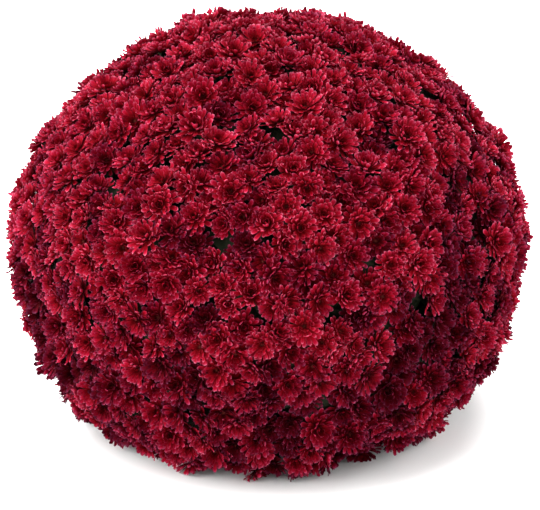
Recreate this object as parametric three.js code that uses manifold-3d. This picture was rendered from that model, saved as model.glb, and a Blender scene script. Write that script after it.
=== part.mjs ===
// A cushion chrysanthemum: one whole bushy plant, covered all round in small pompon blooms.
//
// The plant is cut at its woody crown and rests on that cut and on its lowest blooms. The crown
// carries branches with lobed leaves, and each branch ends in a spray of about a hundred blooms.
// The sprays meet edge to edge and close the ball. Millimetres, +Z up, and the origin is the
// centre of the crown's cut face.

import * as THREE from 'three';
import { ConvexHull } from 'three/addons/math/ConvexHull.js';
import { mergeVertices } from 'three/addons/utils/BufferGeometryUtils.js';
import Module from 'manifold-3d';

const wasm = await Module();
wasm.setup();

// ---------------------------------------------------------------- driving dimensions

const BALL_RADIUS = 260; // to the petal tips, at the widest level
const WIDEST_LEVEL = 186; // the widest level's height above the ground
const UPPER_RISE = 227; // from the widest level to the ball's top
const UPPER_POWER = 1.9; // of the superellipse that the upper half follows
const LOWER_DROP = 244; // the lower half's own depth, before the ground cuts it off
const LOWER_POWER = 2.18;

const BLOOM_SPACING = 26; // between the centres of neighbouring blooms
const SPACING_JITTER = 0.24; // how far a bloom strays from its even place, in spacings
const FLOWER_EDGE = 2; // blooms stop where the ball comes this near to the ground
const CENTRE_SINK = 3; // the most that a bloom's top stands below the ball's surface
const PETAL_DROOP = 7; // of the petal tips, below the ball's surface
const GAP_DEPTH = 11; // of the gaps between blooms
const GAP_LIFT = 4; // the least height of a gap above the ground
const SPLIT = 0.25; // each spray keeps this far back from where it meets its neighbour
const SPRAY_DEPTH = 0.26; // from the ball's surface to where a branch meets its spray, in radii

const CROWN_RADIUS = 12;
const CROWN_FOOT_RADIUS = 13.5;
const CROWN_SHOULDER = 27; // height of the crown's round top's centre
const CROWN_SIDES = 12;
const SEAT_GAP = 0.35; // between a branch and what it meets at each end

const BRANCH_BASE_RADIUS = 2.9;
const BRANCH_TIP_RADIUS = 2.3;
const BRANCH_SIDES = 5;
const BRANCH_STEPS = 4;
const BRANCH_REACH = 0.38; // length of a branch's two straight pulls, in spans

const LEAF_THICKNESS = 0.8;
const LEAF_DROOP = 0.006; // curvature of a leaf along its midrib, per millimetre

const SURFACE_STEPS = 720; // rings that the ball's area is summed over
const SEED = 20417;

// Sprays stand in one cap and two rings: polar angle from the top, how many, turn of the first,
// how steeply the branch leaves the crown, and the places of its leaves along it.
const SPRAY_RINGS = [
  { polar: 0, count: 1, turn: 0, rise: 90, leaves: [{ at: 0.55, side: 1 }] },
  { polar: 62, count: 5, turn: 18, rise: 50, leaves: [{ at: 0.6, side: 1 }] },
  { polar: 110, count: 6, turn: 0, rise: 12, leaves: [{ at: 0.45, side: 1 }, { at: 0.7, side: -1 }] },
];

// Half a leaf's outline, from its stalk to its tip: distance along the midrib, then to the side.
const LEAF_STALK = [[-1, 1.2], [11, 1.3]];
const LEAF_LOBES = [[20, 12], [27, 6], [37, 16], [45, 7]];
const LEAF_TIP = 58;

// ---------------------------------------------------------------- materials

const petalRed = new THREE.MeshStandardMaterial({ color: 0x8a1428, roughness: 0.7, metalness: 0 });
const leafGreen = new THREE.MeshStandardMaterial({ color: 0x2f4a26, roughness: 0.75, metalness: 0 });
const bark = new THREE.MeshStandardMaterial({ color: 0x6b5138, roughness: 0.9, metalness: 0 });

// ---------------------------------------------------------------- the ball's surface

const ballCentre = new THREE.Vector3(0, 0, WIDEST_LEVEL);

/** Distance from the ball's centre to its petal tips, at a polar angle from the top. */
function tipRadius(polar) {
  const upper = polar < Math.PI / 2;
  const rise = upper ? UPPER_RISE : LOWER_DROP;
  const power = upper ? UPPER_POWER : LOWER_POWER;
  const across = Math.pow(Math.abs(Math.sin(polar)) / BALL_RADIUS, power);
  const along = Math.pow(Math.abs(Math.cos(polar)) / rise, power);
  return Math.pow(across + along, -1 / power);
}

/** The point in a direction, some depth under the surface and no lower than lift above ground. */
function surfacePoint(direction, depth, lift) {
  let reach = tipRadius(Math.acos(THREE.MathUtils.clamp(direction.z, -1, 1))) - depth;
  if (direction.z < 0) reach = Math.min(reach, (WIDEST_LEVEL - lift) / -direction.z);
  return direction.clone().multiplyScalar(reach).add(ballCentre);
}

/** The direction at a polar angle from the top and an azimuth from -Y towards +X. */
function directionOf(polar, azimuth) {
  return new THREE.Vector3(
    Math.sin(polar) * Math.sin(azimuth),
    -Math.sin(polar) * Math.cos(azimuth),
    Math.cos(polar));
}

/** Running area of the ball's closed surface, at even steps of polar angle from top to bottom. */
function runningArea(steps) {
  const areas = [0];
  const step = Math.PI / steps;
  for (let i = 0; i < steps; i += 1) {
    const middle = (i + 0.5) * step;
    const radius = tipRadius(middle);
    const change = tipRadius((i + 1) * step) - tipRadius(i * step);
    const slant = Math.hypot(radius * step, change);
    areas.push(areas[i] + 2 * Math.PI * radius * Math.sin(middle) * slant);
  }
  return areas;
}

function seededRandom(seed) {
  let state = seed;
  return () => {
    state = (Math.imul(1664525, state) + 1013904223) >>> 0;
    return state / 4294967296;
  };
}

// ---------------------------------------------------------------- where the blooms stand

/**
 * Even places on a spiral round the ball, each strayed a little. The places below the flowered
 * part carry no bloom: they only close the network under the plant.
 */
function bloomSites() {
  const steps = SURFACE_STEPS;
  const areas = runningArea(steps);
  const bloomArea = BLOOM_SPACING * BLOOM_SPACING * Math.sqrt(3) / 2;
  const count = Math.round(areas[steps] / bloomArea);
  const goldenAngle = Math.PI * (3 - Math.sqrt(5));
  const random = seededRandom(SEED);
  const sites = [];
  let band = 0;
  for (let i = 0; i < count; i += 1) {
    const area = (i + 0.5) * areas[steps] / count;
    while (areas[band + 1] < area) band += 1;
    const within = (area - areas[band]) / (areas[band + 1] - areas[band]);
    const polar = (band + within) * Math.PI / steps;
    const radius = tipRadius(polar);
    const stray = SPACING_JITTER * BLOOM_SPACING * Math.sqrt(random());
    const bearing = 2 * Math.PI * random();
    const sink = CENTRE_SINK * random();
    const ringRadius = radius * Math.max(Math.sin(polar), 0.1);
    const direction = directionOf(
      polar + stray * Math.cos(bearing) / radius,
      i * goldenAngle + stray * Math.sin(bearing) / ringRadius);
    const height = WIDEST_LEVEL + radius * Math.cos(polar);
    sites.push({ direction, sink, spray: height > FLOWER_EDGE ? nearestSpray(direction) : -1 });
  }
  return sites;
}

const sprays = SPRAY_RINGS.flatMap((ring) => Array.from({ length: ring.count }, (_, i) => {
  const azimuth = THREE.MathUtils.degToRad(ring.turn + i * 360 / ring.count);
  const axis = directionOf(THREE.MathUtils.degToRad(ring.polar), azimuth);
  const depth = SPRAY_DEPTH * tipRadius(Math.acos(axis.z));
  return { ring, azimuth, axis, joint: surfacePoint(axis, depth, 0) };
}));

function nearestSpray(direction) {
  const nearness = sprays.map((spray) => spray.axis.dot(direction));
  return nearness.indexOf(Math.max(...nearness));
}

/** Triangles between neighbouring sites, as site numbers, counter-clockwise from outside. */
function neighbourTriangles(sites) {
  const numbers = new Map(sites.map((site, i) => [site.direction, i]));
  const hull = new ConvexHull().setFromPoints(sites.map((site) => site.direction));
  return hull.faces.map((face) => [face.edge.prev, face.edge, face.edge.next].map(
    (edge) => numbers.get(edge.head().point)));
}

// ---------------------------------------------------------------- a spray's blooms

/** Collects triangles by named corners and gives one closed geometry. */
class Relief {
  constructor() {
    this.places = [];
    this.numbers = new Map();
    this.corners = [];
  }

  corner(name, place) {
    if (!this.numbers.has(name)) {
      this.numbers.set(name, this.places.length);
      this.places.push(place());
    }
    return this.numbers.get(name);
  }

  triangle(a, b, c) {
    this.corners.push(a, b, c);
  }

  geometry() {
    const geometry = new THREE.BufferGeometry();
    const values = this.places.flatMap((place) => place.toArray());
    geometry.setAttribute('position', new THREE.Float32BufferAttribute(values, 3));
    geometry.setIndex(this.corners);
    return geometry;
  }
}

function unitSum(directions) {
  return directions.reduce((sum, next) => sum.add(next), new THREE.Vector3()).normalize();
}

/**
 * One spray's blooms. Each bloom is a low dome with a petal towards each neighbour: it rises from
 * the gaps at its corners and from its petal tips to its own top. Along the spray's rim its last
 * petals close down to the gaps, and under them the spray narrows to where its branch joins it.
 */
function sprayBlooms(number, sites, triangles) {
  const relief = new Relief();
  const owns = (i) => sites[i].spray === number;
  const foreign = (i) => sites[i].spray !== number && sites[i].spray >= 0;

  /** Keeps a rim corner back from the sprays that it would touch. */
  const heldBack = (place, own, others) => {
    if (others.length > 0) {
      const inward = unitSum(own.map((i) => sites[i].direction)).sub(
        unitSum(others.map((i) => sites[i].direction)));
      place.addScaledVector(inward.normalize(), SPLIT);
      place.z = Math.max(place.z, 0);
    }
    return place;
  };

  const top = (i) => relief.corner(`top ${i}`,
    () => surfacePoint(sites[i].direction, sites[i].sink, 0));

  const petalTip = (i, j) => relief.corner(`tip ${Math.min(i, j)} ${Math.max(i, j)}`, () => {
    const direction = unitSum([sites[i].direction, sites[j].direction]);
    return heldBack(surfacePoint(direction, PETAL_DROOP, 0), [i], [j].filter(foreign));
  });

  const gap = (face) => relief.corner(`gap ${face}`, () => {
    const direction = unitSum(triangles[face].map((i) => sites[i].direction));
    const place = surfacePoint(direction, GAP_DEPTH, GAP_LIFT);
    return heldBack(place, triangles[face].filter(owns), triangles[face].filter(foreign));
  });

  const faceAcross = new Map();
  triangles.forEach((triangle, face) => triangle.forEach((i, k) => {
    faceAcross.set(`${i} ${triangle[(k + 1) % 3]}`, face);
  }));

  const rimNext = new Map();
  triangles.forEach((triangle, face) => triangle.forEach((i, k) => {
    if (!owns(i)) return;
    const next = triangle[(k + 1) % 3];
    const previous = triangle[(k + 2) % 3];
    relief.triangle(top(i), petalTip(i, next), gap(face));
    relief.triangle(top(i), gap(face), petalTip(i, previous));
    if (owns(next)) return;
    const other = faceAcross.get(`${next} ${i}`);
    relief.triangle(gap(face), petalTip(i, next), gap(other));
    rimNext.set(gap(other), gap(face));
  }));

  closeUnderside(relief, rimLoop(rimNext), sprays[number]);
  return relief.geometry();
}

function rimLoop(rimNext) {
  const start = rimNext.keys().next().value;
  const loop = [start];
  for (let at = rimNext.get(start); at !== start; at = rimNext.get(at)) loop.push(at);
  if (loop.length !== rimNext.size) throw new Error('a spray has more than one rim');
  return loop;
}

function turn(a, b, c) {
  return (b.x - a.x) * (c.y - a.y) - (b.y - a.y) * (c.x - a.x);
}

/** Joins the rim to the branch's joint, after cutting off rim corners that fold back on it. */
function closeUnderside(relief, loop, spray) {
  const sideways = new THREE.Vector3(-spray.axis.y, spray.axis.x, 0);
  if (sideways.length() < 0.01) sideways.set(1, 0, 0);
  const across = sideways.normalize();
  const along = new THREE.Vector3().crossVectors(spray.axis, across);
  const flatten = (corner) => {
    const offset = relief.places[corner].clone().sub(ballCentre);
    const depth = offset.dot(spray.axis);
    return { corner, x: offset.dot(across) / depth, y: offset.dot(along) / depth };
  };
  const middle = { x: 0, y: 0 };
  const leastTurn = 1e-5; // under this a corner counts as folded back
  const rim = loop.map(flatten);
  const pick = (i) => rim[(i + rim.length) % rim.length];
  const isEar = (i) => {
    const [before, here, after] = [pick(i - 1), pick(i), pick(i + 1)];
    if (turn(before, here, after) <= leastTurn) return false;
    return !rim.some((point) => ![before, here, after].includes(point)
      && turn(before, here, point) > 0 && turn(here, after, point) > 0
      && turn(after, before, point) > 0);
  };
  for (;;) {
    const fold = rim.findIndex((point, i) => turn(middle, point, pick(i + 1)) <= leastTurn);
    if (fold < 0) break;
    const offset = [0, 1, -1, 2, -2, 3].find((step) => isEar(fold + step));
    if (offset === undefined) throw new Error('a rim fold could not be cut off');
    const ear = (fold + offset + rim.length) % rim.length;
    relief.triangle(pick(ear + 1).corner, pick(ear).corner, pick(ear - 1).corner);
    rim.splice(ear, 1);
  }
  const joint = relief.corner('joint', () => spray.joint.clone());
  rim.forEach((point, i) => relief.triangle(pick(i + 1).corner, point.corner, joint));
}

// ---------------------------------------------------------------- crown, branches and leaves

/** A closed solid from a geometry, with coincident corners joined and collapsed faces left out. */
function solidOf(geometry) {
  const bare = geometry.clone();
  bare.deleteAttribute('normal');
  bare.deleteAttribute('uv');
  const merged = mergeVertices(bare, 1e-4);
  const index = merged.index.array;
  const kept = [];
  for (let i = 0; i < index.length; i += 3) {
    const [a, b, c] = [index[i], index[i + 1], index[i + 2]];
    if (a !== b && b !== c && c !== a) kept.push(a, b, c);
  }
  return new wasm.Manifold(new wasm.Mesh({
    numProp: 3,
    vertProperties: Float32Array.from(merged.attributes.position.array),
    triVerts: Uint32Array.from(kept),
  }));
}

function geometryOf(solid) {
  const mesh = solid.getMesh();
  const geometry = new THREE.BufferGeometry();
  geometry.setAttribute('position', new THREE.Float32BufferAttribute(mesh.vertProperties, 3));
  geometry.setIndex(Array.from(mesh.triVerts));
  return geometry;
}

function crownGeometry() {
  const profile = [
    new THREE.Vector2(0, 0),
    new THREE.Vector2(CROWN_FOOT_RADIUS, 0),
    new THREE.Vector2(CROWN_RADIUS, CROWN_SHOULDER * 0.4),
    new THREE.Vector2(CROWN_RADIUS, CROWN_SHOULDER),
  ];
  for (const rise of [30, 60]) {
    const angle = THREE.MathUtils.degToRad(rise);
    profile.push(new THREE.Vector2(
      CROWN_RADIUS * Math.cos(angle),
      CROWN_SHOULDER + CROWN_RADIUS * Math.sin(angle)));
  }
  profile.push(new THREE.Vector2(0, CROWN_SHOULDER + CROWN_RADIUS));
  const lathe = new THREE.LatheGeometry(profile, CROWN_SIDES);
  lathe.rotateX(Math.PI / 2);
  return geometryOf(solidOf(lathe));
}

/** The curve of a spray's branch, from the crown's shoulder to under the spray. */
function branchCurve(spray) {
  const rise = THREE.MathUtils.degToRad(90 - spray.ring.rise);
  const leaving = directionOf(rise, spray.azimuth);
  const foot = new THREE.Vector3(0, 0, CROWN_SHOULDER).addScaledVector(
    leaving, CROWN_RADIUS + SEAT_GAP);
  const end = spray.joint.clone().addScaledVector(spray.axis, -SEAT_GAP);
  const pull = BRANCH_REACH * foot.distanceTo(end);
  return new THREE.CubicBezierCurve3(
    foot,
    foot.clone().addScaledVector(leaving, pull),
    end.clone().addScaledVector(spray.axis, -pull),
    end);
}

/** A closed tapered tube along a curve. */
function branchGeometry(curve) {
  const relief = new Relief();
  const frames = curve.computeFrenetFrames(BRANCH_STEPS, false);
  const ringCorner = (step, side) => relief.corner(`${step} ${side % BRANCH_SIDES}`, () => {
    const along = step / BRANCH_STEPS;
    const radius = THREE.MathUtils.lerp(BRANCH_BASE_RADIUS, BRANCH_TIP_RADIUS, along);
    const angle = 2 * Math.PI * (side % BRANCH_SIDES) / BRANCH_SIDES;
    return curve.getPointAt(along)
      .addScaledVector(frames.normals[step], radius * Math.cos(angle))
      .addScaledVector(frames.binormals[step], radius * Math.sin(angle));
  });
  for (let side = 0; side < BRANCH_SIDES; side += 1) {
    for (let step = 0; step < BRANCH_STEPS; step += 1) {
      const [a, b] = [ringCorner(step, side), ringCorner(step, side + 1)];
      const [c, d] = [ringCorner(step + 1, side), ringCorner(step + 1, side + 1)];
      relief.triangle(a, b, d);
      relief.triangle(a, d, c);
    }
  }
  for (let side = 1; side < BRANCH_SIDES - 1; side += 1) {
    relief.triangle(ringCorner(0, 0), ringCorner(0, side + 1), ringCorner(0, side));
    relief.triangle(ringCorner(BRANCH_STEPS, 0), ringCorner(BRANCH_STEPS, side),
      ringCorner(BRANCH_STEPS, side + 1));
  }
  return relief.geometry();
}

/** A lobed leaf, stalk at the origin, midrib along +X and upper face up, drooping to its tip. */
function leafGeometry() {
  const relief = new Relief();
  const half = [...LEAF_STALK, ...LEAF_LOBES];
  const place = (x, y, level) => new THREE.Vector3(
    x, y, level * LEAF_THICKNESS / 2 - LEAF_DROOP * x * x / 2);
  const edge = (i, side, level) => relief.corner(`${i} ${side} ${level}`,
    () => place(half[i][0], side * half[i][1], level));
  const tip = (level) => relief.corner(`tip ${level}`, () => place(LEAF_TIP, 0, level));
  const last = half.length - 1;
  const face = (level, add) => {
    for (let i = 0; i < last; i += 1) {
      add(edge(i, -1, level), edge(i + 1, -1, level), edge(i + 1, 1, level));
      add(edge(i, -1, level), edge(i + 1, 1, level), edge(i, 1, level));
    }
    add(edge(last, -1, level), tip(level), edge(last, 1, level));
  };
  face(1, (a, b, c) => relief.triangle(a, b, c));
  face(-1, (a, b, c) => relief.triangle(a, c, b));
  const outline = [
    ...half.map((_, i) => (level) => edge(i, -1, level)),
    tip,
    ...half.map((_, i) => (level) => edge(last - i, 1, level)),
  ];
  outline.forEach((here, i) => {
    const next = outline[(i + 1) % outline.length];
    relief.triangle(here(-1), next(-1), next(1));
    relief.triangle(here(-1), next(1), here(1));
  });
  return relief.geometry();
}

/** A branch and its leaves, grown together. */
function leafyBranch(spray) {
  const curve = branchCurve(spray);
  let plant = solidOf(branchGeometry(curve));
  for (const { at, side } of spray.ring.leaves) {
    const tangent = curve.getTangentAt(at);
    const level = new THREE.Vector3(Math.cos(spray.azimuth), Math.sin(spray.azimuth), 0);
    const midrib = level.multiplyScalar(side * 0.8).addScaledVector(tangent, 0.6).normalize();
    const up = new THREE.Vector3(0, 0, 1).addScaledVector(midrib, -midrib.z).normalize();
    const across = new THREE.Vector3().crossVectors(up, midrib);
    const leaf = leafGeometry();
    leaf.applyMatrix4(new THREE.Matrix4().makeBasis(midrib, across, up).setPosition(
      curve.getPointAt(at)));
    plant = plant.add(solidOf(leaf));
  }
  return geometryOf(plant);
}

// ---------------------------------------------------------------- the whole plant

function namedMesh(name, geometry, material) {
  const mesh = new THREE.Mesh(geometry, material);
  mesh.name = name;
  return mesh;
}

const chrysanthemum = new THREE.Group();
chrysanthemum.name = 'cushion_chrysanthemum';
chrysanthemum.add(namedMesh('crown', crownGeometry(), bark));

const sites = bloomSites();
const triangles = neighbourTriangles(sites);
sprays.forEach((spray, number) => {
  const label = `spray_${String(number + 1).padStart(2, '0')}`;
  chrysanthemum.add(namedMesh(`${label}_stem`, leafyBranch(spray), leafGreen));
  chrysanthemum.add(namedMesh(`${label}_blooms`, sprayBlooms(number, sites, triangles), petalRed));
});

export default chrysanthemum;
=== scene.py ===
"""Looks of the cushion pompon chrysanthemum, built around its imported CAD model.

Every bloom stands where its dome stands in the CAD model, because the same rule places both. Each
spray becomes three pieces: its flower heads, its stems and its leaves. Lengths are millimetres,
as in the part's source, until a mesh is made. Angles are radians, or degrees where a comment
says so.
"""

import math

import bpy
import numpy as np
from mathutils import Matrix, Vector


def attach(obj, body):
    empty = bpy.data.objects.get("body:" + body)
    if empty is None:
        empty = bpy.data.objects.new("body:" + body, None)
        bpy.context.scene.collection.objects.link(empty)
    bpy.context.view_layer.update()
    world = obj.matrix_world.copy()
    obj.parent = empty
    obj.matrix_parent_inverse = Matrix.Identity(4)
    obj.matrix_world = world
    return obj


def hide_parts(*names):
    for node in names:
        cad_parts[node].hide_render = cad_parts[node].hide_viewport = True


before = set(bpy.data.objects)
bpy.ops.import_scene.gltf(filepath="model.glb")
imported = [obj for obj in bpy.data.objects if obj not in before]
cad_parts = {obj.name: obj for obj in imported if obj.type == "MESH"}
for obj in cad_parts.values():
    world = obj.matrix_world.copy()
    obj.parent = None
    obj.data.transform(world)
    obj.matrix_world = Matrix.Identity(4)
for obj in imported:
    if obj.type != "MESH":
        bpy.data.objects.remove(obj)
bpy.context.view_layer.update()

METRES = 0.001  # one millimetre, in metres
TINY = 1e-9  # keeps a division by nothing away

# -------------------------------------------------------- the ball, as in the CAD model

BALL_RADIUS = 260  # to the petal tips, at the widest level
WIDEST_LEVEL = 186  # the widest level's height above the ground
UPPER_RISE = 227  # from the widest level to the ball's top
UPPER_POWER = 1.9  # of the superellipse that the upper half follows
LOWER_DROP = 244  # the lower half's own depth, before the ground cuts it off
LOWER_POWER = 2.18
BALL_CENTRE = np.array([0, 0, WIDEST_LEVEL])
BALL_TOP = WIDEST_LEVEL + UPPER_RISE
SURFACE_STEPS = 720  # rings that the ball's area is summed over

BLOOM_SPACING = 26  # between the centres of neighbouring blooms
SPACING_JITTER = 0.24  # how far a bloom strays from its even place, in spacings
LEAST_RING = 0.1  # least radius of a ring of blooms, in radii of the ball
FLOWER_EDGE = 2  # blooms stop where the ball comes this near to the ground
CENTRE_SINK = 3  # the most that a bloom's top stands below the ball's surface
SPRAY_DEPTH = 0.26  # from the ball's surface to where a branch meets its spray, in radii

# The CAD model's random numbers: each state is worked out from the one before.
PLACES_SEED = 20417
STATE_FACTOR = 1664525
STATE_STEP = 1013904223
STATES = 2 ** 32

CROWN_RADIUS = 12
CROWN_FOOT_RADIUS = 13.5
CROWN_SHOULDER = 27  # height of the crown's round top's centre
CROWN_FLARE = 0.4  # share of the shoulder's height where the foot is wider
SEAT_GAP = 0.35  # between a branch and what it meets at each end
BRANCH_BASE_RADIUS = 2.9
BRANCH_TIP_RADIUS = 2.3
BRANCH_REACH = 0.38  # length of a branch's two straight pulls, in spans

# Rings of sprays: polar angle in degrees, how many, turn of the first, how steeply the branch
# leaves the crown, and the places of its large leaves: share of the branch, and side.
SPRAY_RINGS = [
    {"polar": 0, "count": 1, "turn": 0, "rise": 90, "leaves": [(0.55, 1)]},
    {"polar": 62, "count": 5, "turn": 18, "rise": 50, "leaves": [(0.6, 1)]},
    {"polar": 110, "count": 6, "turn": 0, "rise": 12, "leaves": [(0.45, 1), (0.7, -1)]},
]

# -------------------------------------------------------- blooms

# Rings of petals from the outside in: how many, length, width, root's distance from the axis,
# root's height, the elevation of its root and the further rise along it, in degrees, and how far
# up the petals' colour runs: the inner petals stay dark, as painted shade in the head's cup.
RING_KEYS = ("count", "length", "width", "root", "height", "rise", "curl", "colour")
PETAL_RINGS = [dict(zip(RING_KEYS, values)) for values in (
    (19, 16.6, 4.2, 2.3, 0.0, 1, 24, 1.0),
    (16, 14.0, 3.8, 2.1, 0.5, 16, 26, 1.0),
    (12, 11.0, 3.4, 1.9, 1.0, 33, 26, 0.96),
    (9, 8.0, 2.8, 1.7, 1.4, 50, 22, 0.76),
    (6, 5.0, 2.4, 1.5, 1.8, 64, 16, 0.45),
)]
PETAL_ROWS = np.array([0.0, 0.42, 0.82, 1.0])  # places along a petal
PETAL_WIDTHS = np.array([0.45, 0.8, 1.0, 0.84])  # at those places, of the full width
PETAL_CUPS = np.radians([24, 16, 18, 26])  # how far the edges turn up there
PETAL_CURVE = np.array([0.1, 0.5, 1.6])  # share of the curl that each stretch has taken up
PETAL_COLUMNS = np.array([-1, 0, 1])  # a petal's edges and middle
TIP_CORNERS = np.array([1, 0, 1])  # the columns whose end stands back to round the tip
TIP_ROUNDING = 0.05  # how far it stands back, in petal lengths

# How much one petal differs from the next: its azimuth in steps between petals, its rise, curl
# and twist in degrees, and its length and width as shares.
AZIMUTH_SPREAD = 0.2
RISE_SPREAD = 8
CURL_SPREAD = 12
TWIST_SPREAD = 9
LENGTH_SPREAD = 0.06
WIDTH_SPREAD = 0.07

BLOOM_HEIGHT = 8.0  # from the petals' roots to the bloom's top
DISC_RADIUS = 3.0
DISC_HEIGHT = 2.6
DISC_RIM_HEIGHT = 1.56
DISC_SIDES = 5
UPWARD_LEANS = (0.22, 0.0)  # how far the lowest and highest blooms turn to the sky
BLOOM_TILT = math.radians(24)  # the most that a bloom tilts at random
NEARLY_UPRIGHT = 0.9  # rise of a direction that takes another guide than straight up
SPIN_GUIDE = np.array([0.01, 0.02, 0.03])  # keeps a lean from lying along its bloom
OPENNESS = (4, 7)  # mean and spread of the further rise of all a bloom's petals, in degrees
NEIGHBOURS = 6  # that a bloom's room is measured among
OPEN_LEAN = 0.5  # how far the blooms lean to where they have room
OPEN_SHIFT = 5  # and how far they move there
OPEN_GROWTH = 1.2  # how much more room makes a bloom larger
HEIGHT_GROWTH = 0.06  # how much larger the highest blooms are than the lowest
GROWTH_SPREAD = 0.06
GROWTH_LIMITS = (-0.18, 0.2)

# Slow swells of the ball: their usual height, the range of their lengths, and how many waves.
SWELL_HEIGHT = 3.3
SWELL_LENGTHS = (90, 180)
SWELL_WAVES = 24
SWELL_SEED = 3111

MEAN_PROUD = -0.8  # how far the heads stand proud of their even place
PROUD_SPREAD = 1.8
PROUD_LIMITS = (-9, 3.5)
SUNK_SHARES = (0.34, 0.04)  # of the lowest and highest heads that stand back in shade, with painted shade darkening them further
SUNK_DEPTH = 4.5
GROUND_SOFTNESS = 4  # what comes this near to the ground bends along it
LOOKS_SEED = 58

# The petals' colour map has strips of tone side by side, from dark to light. Each strip has the
# disc's florets at its foot, and the petal's length above them.
TONES = 16
TONE_SHAPE = (1.8, 1.7)  # of the beta spread of the blooms' own tones
TONE_SPREAD = 1.3  # among the petals of one bloom, in strips
HEIGHT_PAINTED_SHADE = 11  # painted light and shade: strips that the highest heads are lighter than the lowest
SWELL_PAINTED_SHADE = 2.0  # painted light and shade: strips that a usual swell adds, and a hollow takes away
SUNK_PAINTED_SHADE = 6  # painted shade: strips that a sunk head loses
FLORETS_TOP = 0.11
FLORET_PLACES = np.array([(0.5, 0.085), (0.1, 0.01), (0.9, 0.01)])  # a disc's middle and rim
PETAL_FOOT = 0.14
PETAL_REACH = 0.85
PETAL_SIDES = np.array([0.04, 0.5, 0.96])  # a petal's edges and middle across its strip

# -------------------------------------------------------- stems and leaves

BRANCH_STEPS = 14
BRANCH_SIDES = 8
BLOOMS_PER_SHOOT = 9
SHOOT_DEPTH = 62  # from a head's roots to where its shoot divides
SHOOT_DRAW = 0.15  # how far a shoot's end is drawn in to the branch's end, as a share
SHOOT_RADII = (1.9, 1.3)
SHOOT_PULLS = (0.35, 0.3)  # lengths of its two straight pulls, in spans
SHOOT_STEPS = 4
SHOOT_SIDES = 5
STALK_RADIUS = 0.75
STALK_PULLS = (0.35, 0.4)
STALK_STEPS = 2
STALK_SIDES = 4
CALYX_RADIUS = 3.9  # of the green cup's rim
CALYX_TOP = 0.4  # the rim's depth below the petals' roots
CALYX_DEPTH = 2.6  # of the cup's foot
CALYX_NECK = 1.5  # the foot's radius, in stalk radii
TUBE_GUIDE = np.array([0.013, 0.029, 0.041])  # keeps a straight tube's sides well defined
STEM_MAP = (0.0, 0.3, 0.55, 1.0)  # where branch, shoots and stalks begin and end on the map

LEAVES_PER_STALK = 3
SMALL_LEAF_LENGTHS = (42, 56)
LEAF_FOOT_DEPTHS = (17, 32)  # under the head's green cup
LEAF_TIP_DEPTHS = (8, 20)
LEAF_CLIMBS = (-0.3, 0.8)  # limits of a small leaf's rise, in its lengths
LEAF_TURN_SPREAD = 0.4
LEAF_COVER = 17  # least depth of a leaf under the ball's surface
LARGE_LEAF_LENGTH = 58
LARGE_LEAF_ASIDE = 0.8  # shares of its direction: to the side, and along the branch
LARGE_LEAF_AHEAD = 0.6
LEAF_WIDTH = 0.75  # of its length
LEAF_DROOPS = (0.06, 0.3)  # fall of a leaf's tip, in its lengths
LEAF_FOLDS = (0.15, 0.5)  # rise of the leaf's halves from the midrib
LEAF_WAVE = 0.24  # the most that the folds rise and fall along it
LEAF_WAVE_TURN = 9  # radians of that wave, from foot to tip

# The leaves' colour map has strips of tone side by side, with the leaf's length up each strip.
LEAF_TONES = 8
LEAF_STRIP_HALF = 0.46  # from a strip's middle to where a leaf's widest point lies
LEAF_MAP_FOOT = 0.01
LEAF_MAP_REACH = 0.98

# Half a leaf's outline: distance along the midrib, then to the side, both in lengths.
LEAF_OUTLINE = np.array([
    (0.0, 0.02), (0.16, 0.05), (0.36, 0.25), (0.46, 0.16), (0.66, 0.29),
])
LARGE_LEAF_OUTLINE = np.array([
    (0.0, 0.02), (0.10, 0.022), (0.20, 0.035), (0.27, 0.13), (0.34, 0.21), (0.40, 0.19),
    (0.43, 0.12), (0.47, 0.11), (0.54, 0.20), (0.60, 0.28), (0.68, 0.27), (0.71, 0.19),
    (0.75, 0.12), (0.82, 0.16), (0.89, 0.13), (0.95, 0.07),
])
LEAF_WIDENING = LEAF_WIDTH / 2 / LEAF_OUTLINE[:, 1].max()

# -------------------------------------------------------- crown

CROWN_SIDES = 64
CROWN_RINGS = 20
BARK_DEPTH = 0.5  # of the bark's middle, under the CAD model's face
BARK_RIDGES = [(7, 0.12, 0.35), (17, -0.2, 0.22), (31, 0.5, 0.12)]  # count, twist a mm, rise
BARK_MAP_FOOT = 0.2  # the bark lies above this on the map, and the cut face below it
CUT_MAP_MIDDLE = 0.1
CUT_MAP_RADIUS = 0.09


# -------------------------------------------------------- the ball's surface


def tip_radius(polar):
    """Distance from the ball's centre to its petal tips, at polar angles from the top."""
    polar = np.asarray(polar, float)
    upper = polar < math.pi / 2
    rise = np.where(upper, UPPER_RISE, LOWER_DROP)
    power = np.where(upper, UPPER_POWER, LOWER_POWER)
    across = (np.abs(np.sin(polar)) / BALL_RADIUS) ** power
    along = (np.abs(np.cos(polar)) / rise) ** power
    return (across + along) ** (-1 / power)


def direction_of(polar, azimuth):
    """Directions at a polar angle from the top and an azimuth from -Y towards +X."""
    return np.stack([
        np.sin(polar) * np.sin(azimuth),
        -np.sin(polar) * np.cos(azimuth),
        np.cos(polar) * np.ones_like(azimuth),
    ], axis=-1)


def surface_point(direction, depth):
    """Points in the directions, some depth under the surface and never under the ground."""
    up = np.clip(direction[..., 2], -1, 1)
    reach = tip_radius(np.arccos(up)) - depth
    ground = WIDEST_LEVEL / np.maximum(-up, TINY)
    reach = np.where(up < 0, np.minimum(reach, ground), reach)
    return direction * reach[..., None] + BALL_CENTRE


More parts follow.
